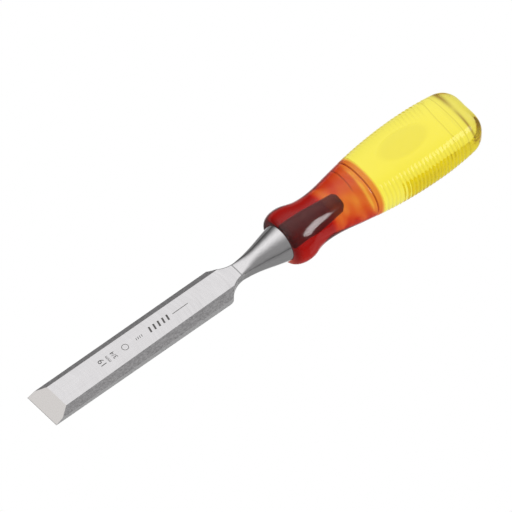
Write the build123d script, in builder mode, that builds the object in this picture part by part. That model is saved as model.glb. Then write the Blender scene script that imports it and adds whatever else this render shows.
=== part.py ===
from build123d import *
import os
from math import cos, pi, radians, sin, sqrt, tan

# Bevel-edge bench chisel, 19 mm wide, with a moulded handle in two colours. Millimetres.
# The origin is the middle of the cutting edge, on the flat back. +X runs up the blade to the
# butt, +Z comes out of the bevelled side, and Y spans the blade's width.

# Blade
BLADE_WIDTH = 19.0  # across the flat back
BEVEL_ANGLE = 25.0
BEVEL_LENGTH = 8.2
SHOULDER_X = 99.4  # end of the parallel blade
NECK_X = 110.3  # the ground top flat stops here, against the bolster
NECK_WIDTH = 7.6
NECK_THICKNESS = 5.2
NECK_TOP_RADIUS = 0.6
NECK_BACK_RADIUS = 1.5
LAND_DRAFT = 8.0  # the side lands lean in by this angle
LAND_AT_TIP = 1.7  # height of the land below each side bevel
LAND_AT_SHOULDER = 2.55
SIDE_BEVEL_ANGLE = 35.0
AXIS_HEIGHT = 2.9  # tool axis above the flat back

# Bolster, (x, half width, half height, squareness): it grows from the neck into a round cone
BOLSTER_SECTIONS = [
    (106.0, 3.3, 1.2, 5.0),
    (NECK_X, 3.95, 2.7, 5.0),
    (113.5, 4.35, 3.6, 3.0),
    (117.5, 5.15, 4.9, 2.1),
    (121.5, 6.0, 6.0, 2.0),
    (125.5, 7.0, 7.0, 2.0),
    (129.5, 8.0, 8.0, 2.0),
    (133.6, 9.0, 9.0, 2.0),
]
CONE_END_X = BOLSTER_SECTIONS[-1][0]
LAND_RADIUS = 8.4  # the round land behind the cone, one small step down from it
LAND_END_X = 135.0
LAND_CHAMFER = 0.3

# Tang, (x, half width, half height, squareness)
TANG_SECTIONS = [
    (LAND_END_X - 1.0, 4.4, 3.5, 4.0),
    (150.0, 3.8, 3.0, 3.5),
    (164.5, 3.05, 2.45, 3.0),
]
TANG_TIP = (166.0, 2.1, 1.5, 3.0)  # the tang narrows to this at its end

# Handle outside, from the nose's bulge to the butt, (x, half width, half height, squareness)
BULGE_X = 139.6
HANDLE_SECTIONS = [
    (BULGE_X, 13.65, 11.5, 2.0),
    (142.8, 13.25, 11.45, 2.0),
    (146.5, 11.95, 10.9, 2.0),
    (151.0, 11.15, 10.3, 2.0),
    (156.0, 11.15, 10.2, 2.0),
    (162.5, 11.9, 10.6, 2.0),
    (168.0, 12.9, 11.05, 2.05),
    (174.0, 13.85, 11.35, 2.15),
    (180.0, 14.85, 11.6, 2.25),
    (188.0, 15.8, 11.7, 2.4),
    (197.0, 16.45, 11.65, 2.55),
    (208.0, 16.75, 11.55, 2.65),
    (219.0, 16.4, 11.35, 2.7),
    (229.0, 15.3, 10.75, 2.75),
    (238.0, 13.7, 9.9, 2.75),
]
BUTT_X = HANDLE_SECTIONS[-1][0]
BUTT_RADIUS = 5.5
NOSE_X = 133.2  # flat front face of the nose
NOSE_WIDTH = 10.0  # half width and half height of that face
NOSE_HEIGHT = 9.6
NOSE_STEPS = [0.0, 0.25, 0.8, 1.8, 3.4]  # distances behind NOSE_X of the dome's sections

# Where the two plastics meet
JOINT_X = 179.7
JOINT_CHAMFER = 0.6
SPIGOT_X = 158.0
SPIGOT_WALL = 2.6  # red plastic around the yellow spigot
SPIGOT_CHAMFER = 1.5
BOND_GAP = 0.03  # bond line between mating faces, on each side

# Cross ribs on both flanks of the grip: the grooves between them
GROOVE_PITCH = 2.0
GROOVE_COUNT = 21
FIRST_GROOVE_X = 183.6
GROOVE_DEPTH = 0.35
GROOVE_TOOL_RADIUS = 0.9
GROOVE_SWEEP_RADIUS = 16.0
GROOVE_ARC = 84.0

SECTION_POINTS = 24


def section_plane(x):
    """The plane across the tool axis at x, its own x along +Y and its own y along +Z."""
    return Plane(origin=(x, 0, AXIS_HEIGHT), x_dir=(0, 1, 0), z_dir=(1, 0, 0))


def squircle(half_width, half_height, squareness):
    """Points of a closed oval: an ellipse at squareness 2, and boxier above that."""
    points = []
    for i in range(SECTION_POINTS):
        angle = 2 * pi * i / SECTION_POINTS
        across, up = cos(angle), sin(angle)
        reach = (abs(across) ** squareness + abs(up) ** squareness) ** (-1 / squareness)
        points.append((half_width * across * reach, half_height * up * reach))
    return points


def oval_sketch(x, half_width, half_height, squareness):
    """One filled section of a lofted body."""
    with BuildSketch(section_plane(x)) as section:
        with BuildLine():
            Spline(*squircle(half_width, half_height, squareness), periodic=True)
        make_face()
    return section.sketch


def grown(sections, margin):
    """The same sections with every half width and half height changed by margin."""
    return [(x, width + margin, height + margin, n) for x, width, height, n in sections]


def nose_sections():
    """The dome from the nose's front face to the bulge: a quarter ellipse in plan and side view."""
    _, bulge_width, bulge_height, squareness = HANDLE_SECTIONS[0]
    sections = []
    for step in NOSE_STEPS:
        share = sqrt(1 - (1 - step / (BULGE_X - NOSE_X)) ** 2)
        width = NOSE_WIDTH + (bulge_width - NOSE_WIDTH) * share
        height = NOSE_HEIGHT + (bulge_height - NOSE_HEIGHT) * share
        sections.append((NOSE_X + step, width, height, squareness))
    return sections


def size_at(sections, x):
    """Half width, half height and squareness at x, on straight lines between the sections."""
    for before, after in zip(sections, sections[1:]):
        if before[0] <= x <= after[0]:
            share = (x - before[0]) / (after[0] - before[0])
            return tuple(a + (b - a) * share for a, b in zip(before[1:], after[1:]))
    raise ValueError(f"no section at {x}")


def plane_over_blade(point, along, across):
    """The plane through point and both directions, its normal on the +Z side."""
    normal = Vector(*along).cross(Vector(*across))
    return Plane(origin=point, x_dir=along, z_dir=normal if normal.Z > 0 else -normal)


def top_plane():
    """The ground top, which rises from the heel of the cutting bevel to the neck."""
    heel = BEVEL_LENGTH * tan(radians(BEVEL_ANGLE))
    rise = (NECK_THICKNESS - heel) / (NECK_X - BEVEL_LENGTH)
    return plane_over_blade((BEVEL_LENGTH, 0, heel), (1, 0, rise), (0, 1, 0))


def land_plane(side):
    """The land on the +Y side (1) or the -Y side (-1), up from the corner of the flat back."""
    corner = (0, side * BLADE_WIDTH / 2, 0)
    up = (0, -side * sin(radians(LAND_DRAFT)), cos(radians(LAND_DRAFT)))
    return plane_over_blade(corner, (1, 0, 0), up)


def side_bevel_plane(side):
    """The side bevel on the +Y side (1) or the -Y side (-1), up from the top of the land."""
    lean = tan(radians(LAND_DRAFT))
    climb = (LAND_AT_SHOULDER - LAND_AT_TIP) / SHOULDER_X
    foot = (0, side * (BLADE_WIDTH / 2 - LAND_AT_TIP * lean), LAND_AT_TIP)
    along = (1, -side * climb * lean, climb)
    inward = (0, -side * cos(radians(SIDE_BEVEL_ANGLE)), sin(radians(SIDE_BEVEL_ANGLE)))
    return plane_over_blade(foot, along, inward)


def cutting_bevel_plane():
    """The bevel that ends in the cutting edge, at the origin."""
    return plane_over_blade((0, 0, 0), (1, 0, tan(radians(BEVEL_ANGLE))), (0, 1, 0))


# Blade: the plan outline with hollow shoulders, ground on top, on both sides and at the tip
with BuildPart() as blade:
    with BuildSketch(Plane.XY):
        with BuildLine():
            neck_corner = (NECK_X, NECK_WIDTH / 2)
            shoulder = TangentArc(neck_corner, (SHOULDER_X, BLADE_WIDTH / 2), tangent=(-1, 0))
            side = Line(shoulder @ 1, (-BEVEL_LENGTH, BLADE_WIDTH / 2))
            Line(side @ 1, (-BEVEL_LENGTH, 0))
            Line(neck_corner, (NECK_X, 0))
            mirror(about=Plane.XZ)
        make_face()
    extrude(amount=2 * NECK_THICKNESS)
    split(bisect_by=top_plane(), keep=Keep.BOTTOM)
    for face, radius in ((-1, NECK_TOP_RADIUS), (0, NECK_BACK_RADIUS)):
        edges = blade.faces().sort_by(Axis.Z)[face].edges()
        fillet(edges.filter_by_position(Axis.X, SHOULDER_X - 4, NECK_X - 1), radius)
    for plane in (land_plane(1), land_plane(-1), side_bevel_plane(1), side_bevel_plane(-1)):
        split(bisect_by=plane, keep=Keep.BOTTOM)
    split(bisect_by=cutting_bevel_plane(), keep=Keep.BOTTOM)

    # Bolster cone, its seated land and the tang
    loft([oval_sketch(*section) for section in BOLSTER_SECTIONS])
    with BuildSketch(section_plane(CONE_END_X)):
        Circle(LAND_RADIUS)
    extrude(amount=LAND_END_X - CONE_END_X)
    chamfer(blade.faces().sort_by(Axis.X)[-1].edges(), LAND_CHAMFER)
    loft([oval_sketch(*section) for section in TANG_SECTIONS])
    loft([oval_sketch(*section) for section in (TANG_SECTIONS[-1], TANG_TIP)])

# Space the bolster and the tang take inside the handle, with the bond line around them
with BuildPart() as tang_space:
    loft([oval_sketch(*section) for section in grown(BOLSTER_SECTIONS[-3:], BOND_GAP)])
    extrude(tang_space.faces().sort_by(Axis.X)[-1], amount=BOND_GAP)
    with BuildSketch(section_plane(CONE_END_X)):
        Circle(LAND_RADIUS + BOND_GAP)
    extrude(amount=LAND_END_X + BOND_GAP - CONE_END_X)
    chamfer(tang_space.faces().sort_by(Axis.X)[-1].edges(), LAND_CHAMFER)
    loft([oval_sketch(*section) for section in grown(TANG_SECTIONS, BOND_GAP)])
    loft([oval_sketch(*section) for section in grown([TANG_SECTIONS[-1], TANG_TIP], BOND_GAP)])
    extrude(tang_space.faces().sort_by(Axis.X)[-1], amount=BOND_GAP)

# The whole outside of the handle, nose to butt
with BuildPart() as handle_form:
    loft([oval_sketch(*section) for section in nose_sections() + HANDLE_SECTIONS])
    fillet(handle_form.faces().sort_by(Axis.X)[-1].edges(), BUTT_RADIUS)


def spigot_solid(margin):
    """The spigot, grown by margin: it keeps an even wall of red around it, up to the joint."""
    shoulder_x = SPIGOT_X + SPIGOT_CHAMFER - margin
    stations = [shoulder_x, (SPIGOT_X + JOINT_X) / 2, JOINT_X + JOINT_CHAMFER]
    sections = [(x, *size_at(HANDLE_SECTIONS, x)) for x in stations]
    sections = grown(sections, margin - SPIGOT_WALL)
    front = (SPIGOT_X - margin, *grown(sections[:1], -SPIGOT_CHAMFER)[0][1:])
    with BuildPart() as body:
        loft([oval_sketch(*section) for section in sections])
        loft([oval_sketch(*section) for section in (front, sections[0])])
    return body.part


# Collar: the front of the handle, hollowed for the bolster, the tang and the spigot
with BuildPart() as collar:
    add(handle_form.part)
    split(bisect_by=section_plane(JOINT_X - BOND_GAP), keep=Keep.BOTTOM)
    chamfer(collar.faces().sort_by(Axis.X)[-1].edges(), JOINT_CHAMFER)
    add(tang_space.part, mode=Mode.SUBTRACT)
    add(spigot_solid(BOND_GAP), mode=Mode.SUBTRACT)

# Cutters for the grooves between the ribs, one short ring on each flank at each place
with BuildPart() as grooves:
    for i in range(GROOVE_COUNT):
        x = FIRST_GROOVE_X + GROOVE_PITCH * i
        half_width = size_at(HANDLE_SECTIONS, x)[0]
        centre_y = half_width - GROOVE_DEPTH + GROOVE_TOOL_RADIUS - GROOVE_SWEEP_RADIUS
        for side in (1, -1):
            axis = Axis((x, side * centre_y, AXIS_HEIGHT), (side, 0, 0))
            low_end = Plane(
                origin=axis.position,
                x_dir=(0, side * cos(radians(GROOVE_ARC / 2)), -sin(radians(GROOVE_ARC / 2))),
                z_dir=(0, -side * sin(radians(GROOVE_ARC / 2)), -cos(radians(GROOVE_ARC / 2))),
            )
            with BuildSketch(low_end):
                with Locations((GROOVE_SWEEP_RADIUS, 0)):
                    Circle(GROOVE_TOOL_RADIUS)
            revolve(axis=axis, revolution_arc=GROOVE_ARC)

# Grip: the rest of the handle, with its spigot, ribbed flanks and the hole for the tang's tip
with BuildPart() as grip:
    add(handle_form.part)
    split(bisect_by=section_plane(JOINT_X), keep=Keep.TOP)
    chamfer(grip.faces().sort_by(Axis.X)[0].edges(), JOINT_CHAMFER)
    add(grooves.part, mode=Mode.SUBTRACT)
    add(spigot_solid(0))
    add(tang_space.part, mode=Mode.SUBTRACT)

os.makedirs("parts", exist_ok=True)
blade.part.label = "blade"
collar.part.label = "handle_collar"
grip.part.label = "handle_grip"
export_step(blade.part, "parts/blade.step")
export_step(collar.part, "parts/handle_collar.step")
export_step(grip.part, "parts/handle_grip.step")
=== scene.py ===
from math import atan, pi, radians

import bpy
import numpy as np
from mathutils import Matrix, Vector


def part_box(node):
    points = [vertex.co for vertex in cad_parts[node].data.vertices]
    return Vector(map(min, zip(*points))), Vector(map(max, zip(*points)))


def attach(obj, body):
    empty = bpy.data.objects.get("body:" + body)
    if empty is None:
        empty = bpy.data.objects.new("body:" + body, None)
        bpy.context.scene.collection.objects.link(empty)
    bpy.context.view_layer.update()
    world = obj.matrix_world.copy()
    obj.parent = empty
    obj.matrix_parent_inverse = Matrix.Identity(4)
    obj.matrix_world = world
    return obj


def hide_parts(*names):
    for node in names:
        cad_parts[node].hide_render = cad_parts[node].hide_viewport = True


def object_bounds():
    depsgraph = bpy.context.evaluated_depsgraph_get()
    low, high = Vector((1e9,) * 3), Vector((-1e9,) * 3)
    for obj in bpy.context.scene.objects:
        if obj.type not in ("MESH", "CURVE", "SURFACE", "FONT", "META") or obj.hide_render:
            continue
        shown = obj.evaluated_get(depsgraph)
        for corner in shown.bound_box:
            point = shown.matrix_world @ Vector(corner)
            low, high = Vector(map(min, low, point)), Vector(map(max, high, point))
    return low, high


# Bench chisel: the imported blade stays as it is, with its own steel, and the two clear plastic
# halves of the handle are rebuilt as smooth meshes with their bores, ribs and grooves.
# Lengths below are millimetres in the shared frame, and meshes are written in metres.

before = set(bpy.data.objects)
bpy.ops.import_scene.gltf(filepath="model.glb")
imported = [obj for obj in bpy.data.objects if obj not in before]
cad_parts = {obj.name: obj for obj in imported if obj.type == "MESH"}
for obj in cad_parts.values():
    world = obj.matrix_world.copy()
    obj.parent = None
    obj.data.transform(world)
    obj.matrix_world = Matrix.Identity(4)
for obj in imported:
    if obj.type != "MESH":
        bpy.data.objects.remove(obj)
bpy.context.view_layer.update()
MM = 0.001

axis_z = (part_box("handle_grip")[0].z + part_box("handle_grip")[1].z) / 2 / MM
butt_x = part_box("handle_grip")[1].x / MM
spigot_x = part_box("handle_grip")[0].x / MM
joint_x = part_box("handle_collar")[1].x / MM
tang_end_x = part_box("blade")[1].x / MM

# Handle outside, (x, half width, half height, squareness): 2 is an ellipse, more is boxier
BULGE_X = 139.6
HANDLE_SECTIONS = [
    (BULGE_X, 13.65, 11.5, 2.0),
    (142.8, 13.25, 11.45, 2.0),
    (146.5, 11.95, 10.9, 2.0),
    (151.0, 11.15, 10.3, 2.0),
    (156.0, 11.15, 10.2, 2.0),
    (162.5, 11.9, 10.6, 2.0),
    (168.0, 12.9, 11.05, 2.05),
    (174.0, 13.85, 11.35, 2.15),
    (180.0, 14.85, 11.6, 2.25),
    (188.0, 15.8, 11.7, 2.4),
    (197.0, 16.45, 11.65, 2.55),
    (208.0, 16.75, 11.55, 2.65),
    (219.0, 16.4, 11.35, 2.7),
    (229.0, 15.3, 10.75, 2.75),
    (butt_x, 13.7, 9.9, 2.75),
]
NOSE_X, NOSE_WIDTH, NOSE_HEIGHT = 133.2, 10.0, 9.6  # the nose's flat front face
NOSE_STEPS = [0.0, 0.25, 0.8, 1.8, 3.4]

# Steel inside the handle: the end of the cone, its land and the tang
CONE_END_X, CONE_RADIUS, CONE_SLOPE = 133.6, 9.0, 0.244
LAND_END_X, LAND_RADIUS, LAND_CHAMFER = 135.0, 8.4, 0.3
TANG_SECTIONS = [
    (134.0, 4.4, 3.5, 4.0),
    (150.0, 3.8, 3.0, 3.5),
    (164.5, 3.05, 2.45, 3.0),
    (tang_end_x, 2.1, 1.5, 3.0),
]
BOND_GAP = 0.05

SPIGOT_WALL = 2.6
SPIGOT_CHAMFER = 1.5
JOINT_EDGE = 0.05  # tiny round on both edges of the joint
BUTT_RADIUS, BUTT_LENGTH = 5.5, 7.5
BUTT_DOME = 0.35

RING_POINTS = 288
COLLAR_RING_STEP = 0.4
GRIP_RING_STEP = 0.25


# ---------------------------------------------------------------- handle profile

def nose_section(step):
    """Half width and half height of the nose dome, a quarter ellipse, behind its front face."""
    share = np.sqrt(1 - (1 - step / (BULGE_X - NOSE_X)) ** 2)
    width, height = HANDLE_SECTIONS[0][1:3]
    return NOSE_WIDTH + (width - NOSE_WIDTH) * share, NOSE_HEIGHT + (height - NOSE_HEIGHT) * share


def spline_bends(knots, values):
    """Second derivatives of the natural cubic spline through values at knots."""
    gaps = np.diff(knots)
    count = len(knots)
    system, right = np.eye(count), np.zeros(count)
    for i in range(1, count - 1):
        system[i, i - 1 : i + 2] = gaps[i - 1] / 6, (gaps[i - 1] + gaps[i]) / 3, gaps[i] / 6
        right[i] = (values[i + 1] - values[i]) / gaps[i] - (values[i] - values[i - 1]) / gaps[i - 1]
    return np.linalg.solve(system, right)


def spline_curve(rows, samples=4000):
    """Fine samples of a smooth curve through rows; the first column is x, the second a size."""
    rows = np.array(rows)
    knots = np.r_[0, np.cumsum(np.hypot(np.diff(rows[:, 0]), np.diff(rows[:, 1])))]
    places = np.linspace(0, knots[-1], samples)
    left = np.clip(np.searchsorted(knots, places) - 1, 0, len(knots) - 2)
    gap = knots[left + 1] - knots[left]
    a, b = (knots[left + 1] - places) / gap, (places - knots[left]) / gap
    columns = []
    for values in rows.T:
        bends = spline_bends(knots, values)
        cubic = ((a**3 - a) * bends[left] + (b**3 - b) * bends[left + 1]) * gap**2 / 6
        columns.append(a * values[left] + b * values[left + 1] + cubic)
    return np.array(columns)


nose_rows = [(NOSE_X + step, *nose_section(step), 2.0) for step in NOSE_STEPS]
profile = spline_curve(nose_rows + HANDLE_SECTIONS)
angles = np.linspace(0, 2 * pi, RING_POINTS, endpoint=False)
across, up = np.abs(np.cos(angles)), np.abs(np.sin(angles))


def reach(width, height, squareness):
    """Distance from the tool axis to the oval outline, for each angle of a ring."""
    return ((across / width) ** squareness + (up / height) ** squareness) ** (-1 / squareness)


def outline(x):
    """Half width, half height and squareness of the handle at x."""
    return [np.interp(x, profile[0], column) for column in profile[1:]]


def outside(x, inset=0.0):
    width, height, squareness = outline(x)
    return reach(width - inset, height - inset, squareness)


def tang_bore(x):
    xs, *sizes = zip(*TANG_SECTIONS)
    width, height, squareness = (np.interp(x, xs, size) for size in sizes)
    return reach(width + BOND_GAP, height + BOND_GAP, squareness)


def cone_bore(x):
    return CONE_RADIUS + BOND_GAP - (CONE_END_X - x) * CONE_SLOPE


# ---------------------------------------------------------------- rings to meshes

def ring(x, radius):
    """One ring of points: x may be one number or one per angle, and so may the radius."""
    x = np.broadcast_to(x, angles.shape)
    radius = np.broadcast_to(radius, angles.shape)
    return np.stack([x, radius * np.cos(angles), axis_z + radius * np.sin(angles)], axis=1)


def ring_mesh(name, rings, bonded, lines, poles=None):
    """A closed mesh from rings. Without poles the last ring joins the first one.

    bonded holds one flag per strip between rings: faces that touch steel or the other plastic.
    lines holds how much each ring's points are darkened, from 0 to 1: painted shade at the collar's mouth,
    in the grooves and ribs and over the butt's end, a darker band where the butt starts and a darker oval
    panel."""
    points = np.concatenate(rings)
    count, turn = len(rings), np.arange(RING_POINTS)
    after = (turn + 1) % RING_POINTS
    faces, flags = [], []
    for i in range(count if poles is None else count - 1):
        here, there = i * RING_POINTS, (i + 1) % count * RING_POINTS
        strip = np.stack([here + turn, here + after, there + after, there + turn], axis=1)
        faces += strip.tolist()
        flags += [bonded[i]] * RING_POINTS
    if poles is not None:
        first_pole, last_pole = len(points), len(points) + 1
        points = np.concatenate([points, [(poles[0], 0, axis_z), (poles[1], 0, axis_z)]])
        last = (count - 1) * RING_POINTS
        faces += [(first_pole, b, a) for a, b in zip(turn.tolist(), after.tolist())]
        faces += [(last_pole, a, b) for a, b in zip((last + turn).tolist(), (last + after).tolist())]
        flags += [bonded[0]] * RING_POINTS + [bonded[-1]] * RING_POINTS
    mesh = bpy.data.meshes.new(name)
    mesh.from_pydata((points * MM).tolist(), [], faces)
    mesh.update()
    mesh.attributes.new("bonded", "FLOAT", "FACE").data.foreach_set("value", [float(f) for f in flags])
    line_and_shade = np.zeros(len(points))
    line_and_shade[: count * RING_POINTS] = np.concatenate(lines)
    mesh.attributes.new("line", "FLOAT", "POINT").data.foreach_set("value", line_and_shade.tolist())
    mesh.polygons.foreach_set("use_smooth", [True] * len(mesh.polygons))
    mesh.set_sharp_from_angle(angle=radians(28))
    piece = bpy.data.objects.new(name, mesh)
    bpy.context.scene.collection.objects.link(piece)
    return piece


def dent(distance, half_width):
    """A smooth dent: 1 at its middle, falling to 0 about half_width away."""
    return np.exp(-((distance / half_width) ** 2) * 2.5)


def smooth_step(low, high, value):
    share = np.clip((value - low) / (high - low), 0, 1)
    return share * share * (3 - 2 * share)


def bond_radius(x):
    """Where red meets yellow: the red is thicker in front, above and low on one side, and uneven."""
    front = smooth_step(joint_x - 3, joint_x - 13, x)
    rear = smooth_step(joint_x - 4.6, joint_x - 3.4, x)
    middle = np.clip((joint_x - 1 - x) / 3, 0, 1) * np.clip((x - spigot_x - SPIGOT_CHAMFER) / 4, 0, 1)
    thick = 2.6 * front * np.clip(np.cos(angles - radians(50)), 0, 1)
    low_front = smooth_step(joint_x - 6, joint_x - 12, x)
    thick = thick + 2.2 * low_front * np.clip(np.cos(angles - radians(205)), 0, 1) ** 2
    waves = 0.45 * np.sin(3 * angles + 0.45 * x) * np.sin(0.8 * x + 1) + 0.3 * np.sin(7 * angles - 0.7 * x)
    return outside(x, SPIGOT_WALL) - (thick + waves) * middle - 1.3 * rear


# ---------------------------------------------------------------- red collar

GROOVE_FROM_JOINT = 3.2
GROOVE_DEPTH, GROOVE_HALF_WIDTH = 0.35, 0.5
MOUTH_SHADE, MOUTH_FADE = 0.9, 3.5  # painted shade: the nose darkens towards the steel


def build_collar():
    rings, bonded, lines = [], [], []

    def add(x, radius, is_bonded, line=0.0):
        rings.append(ring(x, radius))
        bonded.append(is_bonded)
        lines.append(np.broadcast_to(line, angles.shape))

    mouth = cone_bore(NOSE_X)
    # The mouth's face and the front of the dome carry painted shade, darkest at the steel.
    for share in (0, 0.35, 0.7):
        add(NOSE_X, mouth + (outside(NOSE_X) - mouth) * share, False, MOUTH_SHADE)
    dome_end = np.searchsorted(profile[0], BULGE_X + 1.0)
    for place in np.linspace(0, dome_end, 44).astype(int):
        x, width, height, squareness = profile[:, place]
        mouth_shade = MOUTH_SHADE * smooth_step(NOSE_X + MOUTH_FADE, NOSE_X, x)
        add(x, reach(width, height, squareness), False, mouth_shade)

    groove_x = joint_x - GROOVE_FROM_JOINT
    start = profile[0][dome_end]
    stations = np.arange(start + COLLAR_RING_STEP, joint_x - JOINT_EDGE - 0.1, COLLAR_RING_STEP)
    near_groove = groove_x + np.linspace(-2, 2, 17) * GROOVE_HALF_WIDTH
    stations = stations[np.abs(stations - groove_x) > 2.2 * GROOVE_HALF_WIDTH]
    for x in np.sort(np.r_[stations, near_groove]):
        # The groove's upper half carries painted shade.
        groove = dent(x - groove_x, GROOVE_HALF_WIDTH)
        add(x, outside(x) - GROOVE_DEPTH * groove, False, groove * smooth_step(-0.3, 0.1, np.sin(angles)))
    add(joint_x - JOINT_EDGE, outside(joint_x - JOINT_EDGE), False)
    add(joint_x, outside(joint_x, JOINT_EDGE), True)

    shoulder_x = spigot_x + SPIGOT_CHAMFER
    for x in np.linspace(joint_x, shoulder_x, 50):
        add(x, bond_radius(x) + BOND_GAP, True)
    add(spigot_x - BOND_GAP, outside(shoulder_x, SPIGOT_WALL + SPIGOT_CHAMFER), True)
    for x in np.linspace(spigot_x - BOND_GAP, LAND_END_X + BOND_GAP, 16):
        add(x, tang_bore(x), True)
    land = LAND_RADIUS + BOND_GAP
    add(LAND_END_X + BOND_GAP, land - LAND_CHAMFER, True)
    add(LAND_END_X + BOND_GAP - LAND_CHAMFER, land, True)
    add(CONE_END_X + BOND_GAP, land, True)
    add(CONE_END_X + BOND_GAP, cone_bore(CONE_END_X), True)
    for share in (0.25, 0.5, 0.75):
        x = CONE_END_X + (NOSE_X - CONE_END_X) * share
        add(x, cone_bore(x), True)
    return ring_mesh("collar", rings, bonded, lines)


# ---------------------------------------------------------------- yellow grip

RIB_PITCH = 2.0
RIB_FIRST_X, RIB_COUNT = 181.6, 22
RIB_GROOVE_DEPTH, RIB_GROOVE_HALF_WIDTH = 0.2, 0.75
RIB_FADE = (7.5, 10.5)  # the ribs fade out this far above and below the tool axis
OVAL_X, OVAL_LENGTH, OVAL_WIDTH = 202.0, 27.0, 14.0
OVAL_LINE_SHARE = 0.05
RING_LINE_X, RING_LINE_HALF_WIDTH = 226.6, 0.4
RIM_LINE_X, RIM_LINE_HALF_WIDTH = 230.0, 1.7  # a darker band in the colour where the butt starts
LINE_DEPTH = 0.12
# The first and last of these are painted shade, over the butt's end and in the rib grooves; the middle one
# darkens the oval panel on top.
END_SHADE, PANEL_TINT, RIB_SHADE = 0.12, 0.15, 0.2
FAR_RIB_LOSS = 0.6  # the ribs are shallower on the far flank


def grip_outside(x):
    """Radii of the grip's outside at x, and how much each point is darkened: painted shade in the rib grooves,
    the ring line and over the butt's end, a darker band where the butt starts and a darker oval panel on top.
    """
    radius = outside(x)
    y, z = radius * np.cos(angles), radius * np.sin(angles)
    nearest = np.clip(round((x - RIB_FIRST_X) / RIB_PITCH), 0, RIB_COUNT - 1)
    groove = dent(x - RIB_FIRST_X - nearest * RIB_PITCH, RIB_GROOVE_HALF_WIDTH)
    on_flank = 1 - smooth_step(*RIB_FADE, np.abs(z))
    oval = np.hypot((x - OVAL_X) / (OVAL_LENGTH / 2), y / (OVAL_WIDTH / 2))
    on_top = smooth_step(5, 8, z)
    oval_line = dent(oval - 1, OVAL_LINE_SHARE) * on_top
    ring_line = dent(x - RING_LINE_X, RING_LINE_HALF_WIDTH)
    rim_half_width = RIM_LINE_HALF_WIDTH * (1 + 0.45 * np.cos(angles))
    rim_line = dent(x - RIM_LINE_X, rim_half_width) * (0.5 + 0.5 * np.abs(np.sin(2 * angles)))
    rim_line = rim_line * smooth_step(-1, 5, z)
    rib_line = groove * on_flank * (1 - FAR_RIB_LOSS * smooth_step(0, 6, y) * smooth_step(216, 208, x))
    dents = RIB_GROOVE_DEPTH * rib_line + LINE_DEPTH * (0.9 * oval_line + ring_line)
    panel = PANEL_TINT * smooth_step(1.1, 0.75, oval) * on_top
    # The ring line, the rib grooves and the butt's end get painted shade; the band where the butt starts and
    # the oval panel are darker too.
    tint = np.maximum(0.4 * ring_line + RIB_SHADE * rib_line, rim_line) + panel + END_SHADE * smooth_step(RIM_LINE_X, RIM_LINE_X + 1.5, x)
    return radius - dents, tint


def build_grip():
    rings, bonded, lines = [], [], []

    def add(x, radius, is_bonded, line=0.0):
        rings.append(ring(x, radius))
        bonded.append(is_bonded)
        lines.append(np.broadcast_to(line, angles.shape))

    bore_end = tang_end_x + BOND_GAP
    for share in (0.25, 0.5, 0.75):
        add(bore_end, tang_bore(bore_end) * share, True)
    for x in np.linspace(bore_end, spigot_x, 8):
        add(x, tang_bore(x), True)
    shoulder_x = spigot_x + SPIGOT_CHAMFER
    add(spigot_x, outside(shoulder_x, SPIGOT_WALL + SPIGOT_CHAMFER), True)
    grip_front = joint_x + BOND_GAP
    for x in np.linspace(shoulder_x, grip_front, 50):
        add(x, bond_radius(x), True)
    add(grip_front, outside(grip_front, JOINT_EDGE), False)
    add(grip_front + JOINT_EDGE, outside(grip_front + JOINT_EDGE), False)
    round_start = butt_x - BUTT_DOME - BUTT_LENGTH
    for x in np.arange(grip_front + JOINT_EDGE + GRIP_RING_STEP, round_start, GRIP_RING_STEP):
        radius, line = grip_outside(x)
        add(x, radius, False, line)
    for turn in np.linspace(0, pi / 2, 26):
        x = round_start + BUTT_LENGTH * np.sin(turn)
        add(x, grip_outside(x)[0] - BUTT_RADIUS * (1 - np.cos(turn)), False, grip_outside(x)[1])
    rim = outside(round_start + BUTT_LENGTH) - BUTT_RADIUS
    for share in np.linspace(0.95, 0.05, 19):
        add(butt_x - BUTT_DOME * share**2, rim * share, False, END_SHADE)
    return ring_mesh("grip", rings, bonded, lines, poles=(bore_end, butt_x))


# ---------------------------------------------------------------- marks on the blade

TOP_HEEL_X, TOP_HEEL_Z, TOP_SLOPE = 8.2, 3.824, 0.01348  # the ground top of the blade
MARK_THICKNESS = 0.02
SIZE_MARKS = [("19", 35.6, 4.2), ("mm", 38.0, 2.4), ("3/4", 41.6, 3.1)]  # words, x, letter size
DOT_X, DOT_RADIUS, DOT_LINE = 46.9, 1.5, 0.28
TICKS = [(53.2, 1.0, 1.3, 0.3, 4), (60.9, 2.45, 2.9, 0.85, 5)]  # first x, pitch, height, width, count
RULE_START, RULE_END, RULE_WIDTH = 73.4, 82.0, 0.3
MARK_Y = 0.4


def on_top(points, lift):
    """Places on the blade's ground top, from (x, y) rows."""
    points = np.asarray(points, float)
    z = TOP_HEEL_Z + (points[:, 0] - TOP_HEEL_X) * TOP_SLOPE + lift
    return np.column_stack([points, z])


def ribbon(path, width, closed=False):
    """Points and faces of a thin ribbon lying on the blade's top along a path."""
    path = np.asarray(path, float)
    ahead = np.roll(path, -1, 0) - np.roll(path, 1, 0) if closed else np.gradient(path, axis=0)
    side = ahead[:, ::-1] * (-1, 1) / np.linalg.norm(ahead, axis=1)[:, None] * width / 2
    low, high = -MARK_THICKNESS / 2, MARK_THICKNESS / 2
    edges = [on_top(path + side, high), on_top(path - side, high)]
    edges += [on_top(path - side, low), on_top(path + side, low)]
    points = np.stack(edges, axis=1).reshape(-1, 3)
    count = len(path)
    faces = [] if closed else [(0, 3, 2, 1), tuple(4 * count - 4 + i for i in range(4))]
    for i in range(count if closed else count - 1):
        here, there = 4 * i, 4 * ((i + 1) % count)
        for k in range(4):
            faces.append((here + k, here + (k + 1) % 4, there + (k + 1) % 4, there + k))
    return points, faces


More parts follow.
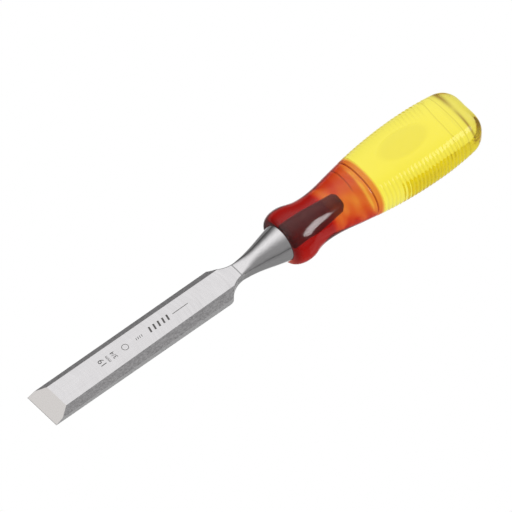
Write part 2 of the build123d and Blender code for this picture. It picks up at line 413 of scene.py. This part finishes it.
def lettering(words, x, size):
    """Points and faces of flat letters on the blade's top, their heads towards the cutting edge."""
    curve = bpy.data.curves.new("words", "FONT")
    curve.body, curve.size, curve.align_x = words, size, "CENTER"
    curve.extrude = MARK_THICKNESS / 2
    letters = bpy.data.objects.new("words", curve)
    mesh = bpy.data.meshes.new_from_object(letters)
    flat = np.array([v.co for v in mesh.vertices])
    faces = [tuple(face.vertices) for face in mesh.polygons]
    bpy.data.objects.remove(letters)
    points = on_top(np.column_stack([x - flat[:, 1], MARK_Y + flat[:, 0]]), 0)
    points[:, 2] += flat[:, 2]
    return points, faces


def build_marks():
    """The etched marks: size numbers, a small ring, and plain strokes for the maker's line."""
    pieces = [lettering(*mark) for mark in SIZE_MARKS]
    turns = np.linspace(0, 2 * pi, 40, endpoint=False)
    ring_path = np.column_stack([DOT_X + DOT_RADIUS * np.cos(turns), MARK_Y + DOT_RADIUS * np.sin(turns)])
    pieces.append(ribbon(ring_path, DOT_LINE, closed=True))
    for first_x, pitch, height, width, count in TICKS:
        for i in range(count):
            x = first_x + pitch * i
            foot, head = MARK_Y - height / 2, MARK_Y + height / 2
            pieces.append(ribbon([(x - height * 0.12, foot), (x + height * 0.12, head)], width))
    pieces.append(ribbon([(RULE_START, MARK_Y), (RULE_END, MARK_Y)], RULE_WIDTH))
    all_points, all_faces, count = [], [], 0
    for points, faces in pieces:
        all_points.append(points)
        all_faces += [tuple(i + count for i in face) for face in faces]
        count += len(points)
    mesh = bpy.data.meshes.new("marks")
    mesh.from_pydata((np.concatenate(all_points) * MM).tolist(), [], all_faces)
    mesh.update()
    marks = bpy.data.objects.new("marks", mesh)
    bpy.context.scene.collection.objects.link(marks)
    return marks


# ---------------------------------------------------------------- materials

class Nodes:
    """A small helper that adds nodes to one material or world and links them."""

    def __init__(self, owner):
        owner.use_nodes = True
        self.tree = owner.node_tree
        self.tree.nodes.clear()

    def new(self, kind, inputs=None, **settings):
        node = self.tree.nodes.new("ShaderNode" + kind)
        for key, value in settings.items():
            setattr(node, key, value)
        for key, value in (inputs or {}).items():
            self.set(node.inputs[key], value)
        return node

    def set(self, socket, value):
        if isinstance(value, bpy.types.NodeSocket):
            self.tree.links.new(value, socket)
        else:
            socket.default_value = value

    def math(self, operation, a, b=None, c=None, clamp=False):
        node = self.new("Math", operation=operation, use_clamp=clamp)
        for socket, value in zip(node.inputs, (a, b, c)):
            if value is not None:
                self.set(socket, value)
        return node.outputs[0]

    def between(self, value, low, high, start=0.0, end=1.0):
        """Smoothly from start at low to end at high."""
        return self.new(
            "MapRange",
            {"Value": value, "From Min": low, "From Max": high, "To Min": start, "To Max": end},
            interpolation_type="SMOOTHSTEP",
        ).outputs[0]

    def mix(self, share, a, b):
        node = self.new("Mix", data_type="RGBA")
        self.set(node.inputs["Factor"], share)
        self.set(node.inputs[6], a)
        self.set(node.inputs[7], b)
        return node.outputs[2]

    def noise(self, vector, scale, detail=3.0, roughness=0.6):
        inputs = {"Vector": vector, "Scale": scale, "Detail": detail, "Roughness": roughness}
        return self.new("TexNoise", inputs).outputs[0]

    def stretched(self, vector, scales):
        return self.new("VectorMath", {0: vector, 1: scales}, operation="MULTIPLY").outputs[0]


CREASE_X = 108.95  # where the ground top runs into the bolster


def blade_steel():
    """Ground and polished steel: satin side bevels, ruled top, polished bolster, dark tang."""
    material = bpy.data.materials.new("blade_steel")
    n = Nodes(material)
    place = n.new("TexCoord").outputs["Object"]
    mm = n.new("VectorMath", {0: place, 1: (1 / MM, 1 / MM, 1 / MM)}, operation="MULTIPLY").outputs[0]
    split = n.new("SeparateXYZ", {0: mm})
    x, y = split.outputs[0], split.outputs[1]
    normal = n.new("SeparateXYZ", {0: n.new("NewGeometry").outputs["True Normal"]})
    lean_x, lean_y, lean_z = (normal.outputs[i] for i in range(3))

    on_blade = n.between(x, 110.1, 110.5, 1.0, 0.0)
    flat = n.math("MULTIPLY", n.between(n.math("ABSOLUTE", lean_z), 0.985, 0.998), on_blade)
    bevel = n.math("MULTIPLY", n.between(lean_x, -0.38, -0.42), n.between(x, 12.0, 10.0))
    side = n.math("MULTIPLY", n.between(n.math("ABSOLUTE", lean_y), 0.3, 0.5), on_blade)
    scale = n.between(x, CONE_END_X + 0.4, LAND_END_X + 0.4)

    # Ruled lines: across the blade near the neck, along it towards the tip
    arc_x = n.math("ADD", x, n.math("MULTIPLY", n.math("MULTIPLY", y, y), 0.03))
    across_place = n.new("CombineXYZ", {0: arc_x, 1: n.math("MULTIPLY", y, 0.06), 2: 0.0}).outputs[0]
    across_lines = n.noise(across_place, 0.9, 5.0, 0.75)
    along_lines = n.noise(n.stretched(mm, (0.03, 2.2, 2.2)), 1.0, 5.0, 0.7)
    near_neck = n.between(x, 45.0, 95.0)
    ruled = n.mix(near_neck, n.mix(0.5, along_lines, across_lines), across_lines)
    satin = n.noise(n.stretched(mm, (0.8, 1.5, 1.5)), 1.0, 4.0, 0.8)
    cloud = n.noise(mm, 0.09, 2.0, 0.5)
    polish = n.noise(n.stretched(mm, (0.15, 3.0, 3.0)), 0.8, 3.0, 0.6)

    land = n.between(n.math("ABSOLUTE", lean_y), 0.85, 0.95)
    grain = n.mix(flat, n.mix(side, polish, satin), ruled)
    strength = n.mix(flat, n.mix(side, (0.3, 0.3, 0.3, 1), (1.7, 1.7, 1.7, 1)), (0.55, 0.55, 0.55, 1))
    tone = n.math("MULTIPLY", n.math("SUBTRACT", grain, 0.5), strength)
    tone = n.math("ADD", tone, n.math("MULTIPLY", n.math("SUBTRACT", cloud, 0.5), 0.06))
    shade = n.new("HueSaturation", {"Color": n.mix(land, (0.76, 0.745, 0.755, 1), (0.93, 0.92, 0.925, 1)), "Value": n.math("ADD", tone, 1.0)})
    warm = n.mix(bevel, shade.outputs[0], (0.655, 0.63, 0.615, 1))
    forged = n.noise(mm, 0.7, 4.0, 0.6)
    dark = n.mix(forged, (0.10, 0.05, 0.055, 1), (0.22, 0.12, 0.13, 1))
    from_crease = n.math("ABSOLUTE", n.math("SUBTRACT", x, CREASE_X))
    # Painted shade: a grey line along the crease where the ground top runs into the bolster.
    painted_crease_shade = n.math("MULTIPLY", n.between(from_crease, 0.35, 0.15), n.between(lean_z, 0.85, 0.93))
    color = n.mix(scale, n.mix(painted_crease_shade, warm, (0.36, 0.36, 0.36, 1)), dark)

    gloss = n.mix(flat, n.mix(side, (0.13, 0.13, 0.13, 1), (0.34, 0.34, 0.34, 1)), (0.22, 0.22, 0.22, 1))
    rough = n.math("ADD", n.between(grain, 0.2, 0.8, -0.04, 0.05), gloss)
    rough = n.math("ADD", rough, n.math("MULTIPLY", scale, 0.2))
    height = n.math("MULTIPLY", grain, n.mix(side, (0.006,) * 3 + (1,), (0.012,) * 3 + (1,)))
    edge = n.new("Bevel", {"Radius": 0.18 * MM}, samples=6).outputs[0]
    bump = n.new("Bump", {"Height": height, "Distance": MM, "Strength": 0.6, "Normal": edge}).outputs[0]
    shader = n.new("BsdfPrincipled", {"Base Color": color, "Metallic": 1.0, "Roughness": rough, "Normal": bump})
    n.new("OutputMaterial", {"Surface": shader.outputs[0]})
    return material


def etched_steel():
    """The dull grey of etched marks."""
    material = bpy.data.materials.new("etched_steel")
    n = Nodes(material)
    place = n.new("TexCoord").outputs["Object"]
    speckle = n.noise(n.stretched(place, (1 / MM,) * 3), 6.0, 3.0, 0.7)
    color = n.mix(n.between(speckle, 0.3, 0.7), (0.11, 0.105, 0.1, 1), (0.2, 0.195, 0.19, 1))
    inputs = {"Base Color": color, "Metallic": 0.6, "Roughness": 0.5}
    n.new("OutputMaterial", {"Surface": n.new("BsdfPrincipled", inputs).outputs[0]})
    return material


def clear_plastic(name, absorption, line_and_shade_color, marbling, haze, glow):
    """Polished clear plastic. Light crosses bonded faces unbent, as if the pieces were one.

    absorption is how much red, green and blue light is lost per metre of the way through, and
    haze is the roughness that softens what is seen inside. glow is painted light: how much light the plastic
    gives off by itself per metre of the way through, standing in for the light that a slightly milky plastic
    throws back."""
    material = bpy.data.materials.new(name)
    n = Nodes(material)
    place = n.new("TexCoord").outputs["Object"]
    mm = n.new("VectorMath", {0: place, 1: (1 / MM, 1 / MM, 1 / MM)}, operation="MULTIPLY").outputs[0]
    wave = n.noise(n.stretched(mm, (0.05, 0.16, 0.16)), 1.0, 2.0, 0.4)
    scuff = n.noise(n.stretched(mm, (0.6, 2.5, 2.5)), 1.0, 4.0, 0.7)
    height = n.math("ADD", n.math("MULTIPLY", wave, marbling), n.math("MULTIPLY", scuff, 0.0004))
    bump = n.new("Bump", {"Height": height, "Distance": MM, "Strength": 1.0}).outputs[0]
    # This attribute darkens the base colour: painted shade at the collar's mouth, in the grooves and ribs and
    # over the butt's end, and a darker band and oval panel on the grip.
    line_and_shade = n.new("Attribute", attribute_name="line").outputs["Fac"]
    plastic = n.new(
        "BsdfPrincipled",
        {
            "Base Color": n.mix(line_and_shade, (1, 1, 1, 1), (*line_and_shade_color, 1)),
            "Roughness": n.between(scuff, 0.35, 0.75, haze, haze + 0.03),
            "IOR": 1.48,
            "Transmission Weight": 1.0,
            "Normal": bump,
        },
    )
    through = n.new("BsdfTransparent", {"Color": (1, 1, 1, 1)})
    bonded = n.new("Attribute", attribute_name="bonded").outputs["Fac"]
    surface = n.new("MixShader", {0: bonded, 1: plastic.outputs[0], 2: through.outputs[0]})
    strongest = max(absorption)
    tint = [1 - loss / strongest for loss in absorption]
    volume = n.new("VolumeAbsorption", {"Color": (*tint, 1), "Density": strongest})
    painted_glow = n.new("Emission", {"Color": (*glow, 1), "Strength": 1.0})
    inside = n.new("AddShader", {0: volume.outputs[0], 1: painted_glow.outputs[0]})
    n.new("OutputMaterial", {"Surface": surface.outputs[0], "Volume": inside.outputs[0]})
    return material


def dress(piece, material, replaced=None):
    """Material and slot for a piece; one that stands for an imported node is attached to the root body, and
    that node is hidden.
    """
    piece.data.materials.clear()
    piece.data.materials.append(material)
    if replaced:
        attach(piece, "root")
        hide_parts(replaced)
    return piece


# ---------------------------------------------------------------- stage

TO_CAMERA = Vector((-0.384, -0.448, 0.807)).normalized()
CAMERA_RIGHT = Vector((0.7594, -0.6505, 0)).normalized()
CAMERA_DISTANCE = 2.0
FRAME_WIDTH = 217.7 * MM
AIM = Vector((120.1, 0, 5.4)) * MM


def add_camera():
    data = bpy.data.cameras.new("camera")
    data.type, data.ortho_scale = "ORTHO", FRAME_WIDTH
    data.clip_end = 20
    camera = bpy.data.objects.new("camera", data)
    bpy.context.scene.collection.objects.link(camera)
    camera_up = TO_CAMERA.cross(CAMERA_RIGHT)
    turn = Matrix((CAMERA_RIGHT, camera_up, TO_CAMERA)).transposed()
    place = AIM + TO_CAMERA * CAMERA_DISTANCE
    camera.matrix_world = Matrix.Translation(place) @ turn.to_4x4()
    bpy.context.scene.camera = camera


# Brightness of the studio round the tool axis, as (degrees from overhead towards +Y, level):
# a large soft light above and a little behind, grey walls, and a dark gap low on both sides
STUDIO = [
    (-180, 0.25), (-125, 0.28), (-106, 0.2), (-100, 0.03), (-90, 0.03), (-82, 0.26), (-62, 0.31), (-38, 0.29),
    (-20, 0.42), (0, 0.82), (15, 1.0), (30, 1.03), (47, 0.7), (62, 0.26), (80, 0.06), (115, 0.05),
    (150, 0.25), (180, 0.25),
]


def studio_level(n, direction):
    """The studio's brightness in a direction, as seen in reflections and through the plastic."""
    split = n.new("SeparateXYZ", {0: direction})
    angle = n.math("ARCTAN2", split.outputs[1], split.outputs[2])
    share = n.math("ADD", n.math("DIVIDE", angle, 2 * pi), 0.5)
    ramp = n.new("ValToRGB", {0: share})
    ramp.color_ramp.interpolation = "B_SPLINE"
    stops = ramp.color_ramp.elements
    while len(stops) < len(STUDIO):
        stops.new(0.5)
    for stop, (degrees, level) in zip(stops, STUDIO):
        stop.position = degrees / 360 + 0.5
        stop.color = (level, level, level, 1)
    return ramp.outputs[0]


def add_world():
    world = bpy.data.worlds.new("studio")
    bpy.context.scene.world = world
    n = Nodes(world)
    direction = n.new("TexCoord").outputs["Generated"]
    paths = n.new("LightPath")
    seen = studio_level(n, direction)
    color = n.mix(paths.outputs["Is Transmission Ray"], seen, (0.97, 0.97, 0.97, 1))
    color = n.mix(paths.outputs["Is Camera Ray"], color, (1, 1, 1, 1))
    background = n.new("Background", {"Color": color, "Strength": 1.0})
    n.new("OutputWorld", {"Surface": background.outputs[0]})


def add_floor():
    """A glowing white table under the chisel, which rests on its cutting edge and on the handle. It is not lit:
    it is white to the camera and through the plastic, and in reflections its level is set by the ray's
    direction, a painted reflection.
    """
    rest_x, rest_z = 200.0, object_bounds()[0].z / MM
    tilt = atan(-rest_z / rest_x)
    half = 2.5
    corners = [(-half, -half, 0), (half, -half, 0), (half, half, 0), (-half, half, 0)]
    mesh = bpy.data.meshes.new("floor")
    mesh.from_pydata(corners, [], [(0, 1, 2, 3)])
    floor = bpy.data.objects.new("floor", mesh)
    bpy.context.scene.collection.objects.link(floor)
    floor.rotation_euler.y = tilt
    floor.location.z = -0.02 * MM
    material = bpy.data.materials.new("floor_white")
    n = Nodes(material)
    paths = n.new("LightPath")
    through = n.math("MULTIPLY", paths.outputs["Is Transmission Ray"], 1.05)
    lit = n.math("MAXIMUM", paths.outputs["Is Camera Ray"], through)
    back = n.new("NewGeometry").outputs["Incoming"]
    to_eye = n.new("VectorMath", {0: back, 1: TO_CAMERA}, operation="DOT_PRODUCT").outputs["Value"]
    grazing = n.between(to_eye, 0.84, 0.97, 0.24, 0.9)
    sideways = n.between(n.new("SeparateXYZ", {0: back}).outputs[0], -0.24, -0.34)
    aside = n.math("MULTIPLY", sideways, n.between(to_eye, 0.42, 0.6, 0.48, 0.0))
    level = n.math("MAXIMUM", lit, n.math("MAXIMUM", grazing, aside))
    glow = n.new("Emission", {"Color": level, "Strength": 1.0})
    n.new("OutputMaterial", {"Surface": glow.outputs[0]})
    mesh.materials.append(material)


def add_softbox(name, aim, direction, along, distance, size, watts, receivers):
    """A long round-ended light that only the listed pieces see."""
    data = bpy.data.lights.new(name, "AREA")
    data.shape, data.energy = "ELLIPSE", watts
    data.size, data.size_y = size
    lamp = bpy.data.objects.new(name, data)
    bpy.context.scene.collection.objects.link(lamp)
    direction = Vector(direction).normalized()
    lamp.location = Vector(aim) + direction * distance
    side = direction.cross(Vector(along)).normalized()
    turn = Matrix((side.cross(direction), side, direction)).transposed()
    lamp.rotation_mode = "QUATERNION"
    lamp.rotation_quaternion = turn.to_quaternion()
    group = bpy.data.collections.new(name + "_receivers")
    for piece in receivers:
        group.objects.link(piece)
    lamp.light_linking.receiver_collection = group
    lamp.visible_transmission = False
    lamp.visible_camera = False


# ---------------------------------------------------------------- put together

dress(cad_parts["blade"], blade_steel())
marks = dress(build_marks(), etched_steel())
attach(marks, "root")
red = clear_plastic("collar_plastic", (58, 320, 420), (0.2, 0.02, 0.02), 0.05, 0.12, (2.0, 0.15, 0.1))
yellow = clear_plastic("grip_plastic", (6, 11, 108), (0.2, 0.1, 0.1), 0.14, 0.03, (2.6, 2.3, 0.2))
collar = dress(build_collar(), red, "handle_collar")
grip = dress(build_grip(), yellow, "handle_grip")

add_world()
add_floor()
add_camera()
KEY_ALONG = (0.5, 0.265, -0.377)
add_softbox("collar_key", (0.15, 0, 0.01), (0.66, -0.49, 0.56), KEY_ALONG, 0.9, (0.8, 0.36), 6.5, [collar])
add_softbox("grip_key", (0.2, 0, 0.01), (0.52, -0.52, 0.68), KEY_ALONG, 0.9, (0.42, 0.42), 1.2, [grip])

scene = bpy.context.scene
scene.view_settings.view_transform = "Standard"
scene.cycles.max_bounces = 20
scene.cycles.transmission_bounces = 20
scene.cycles.transparent_max_bounces = 24
scene.cycles.use_denoising = True
